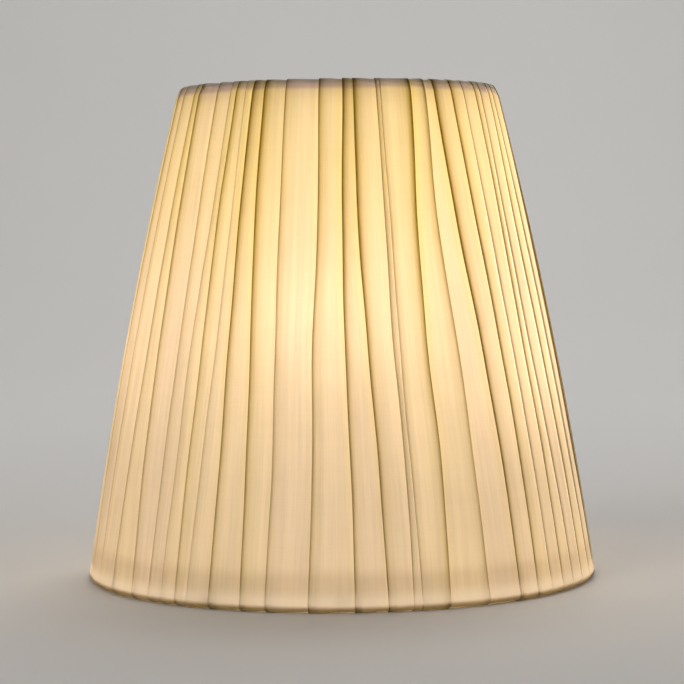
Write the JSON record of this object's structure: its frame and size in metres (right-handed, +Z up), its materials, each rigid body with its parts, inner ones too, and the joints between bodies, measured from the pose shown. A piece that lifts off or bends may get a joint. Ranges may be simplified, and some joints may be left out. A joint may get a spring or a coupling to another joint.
{
  "type": "lamp shade",
  "caption": "Tapered lamp shade with an irregularly pleated ivory cloth cover over a wire frame, lined inside, with a recessed ring fitter and a drop-in reducer for the lampholder.",
  "frame": {"origin": "centre of the bottom rim's plane, on the shade's axis", "axes": "+Z up along the shade's axis from the wide bottom rim to the narrow top rim; -Y is the side that faces the viewer; +X is the viewer's right"},
  "size_m": [0.26, 0.26, 0.25],
  "materials": {
    "pleated_cloth": "matt woven cloth, translucent",
    "lining_cloth": "smooth satin-backed cloth, translucent",
    "edge_tape": "ribbed woven tape",
    "frame_wire": "white coated wire",
    "reducer_plastic": "moulded, satin"
  },
  "bodies": {
    "shade": {"bottom_ring": "frame_wire", "top_ring": "frame_wire", "rib_1": "frame_wire", "rib_2": "frame_wire", "rib_3": "frame_wire", "rib_4": "frame_wire", "rib_5": "frame_wire", "rib_6": "frame_wire", "fitter_ring": "frame_wire", "fitter_arm_1": "frame_wire", "fitter_arm_2": "frame_wire", "fitter_arm_3": "frame_wire", "cover_panel_1": "pleated_cloth", "cover_panel_2": "pleated_cloth", "cover_panel_3": "pleated_cloth", "cover_panel_4": "pleated_cloth", "cover_panel_5": "pleated_cloth", "lining_panel_1": "lining_cloth", "lining_panel_2": "lining_cloth", "bottom_tape": "edge_tape", "top_tape": "edge_tape"},
    "adapter": {"adapter_ring": "reducer_plastic"}
  },
  "joints": [
    {"name": "adapter_lift", "type": "slide", "parent": "shade", "child": "adapter", "axis": [0, 0, 1], "range_m": [0, 0.24]}
  ]
}
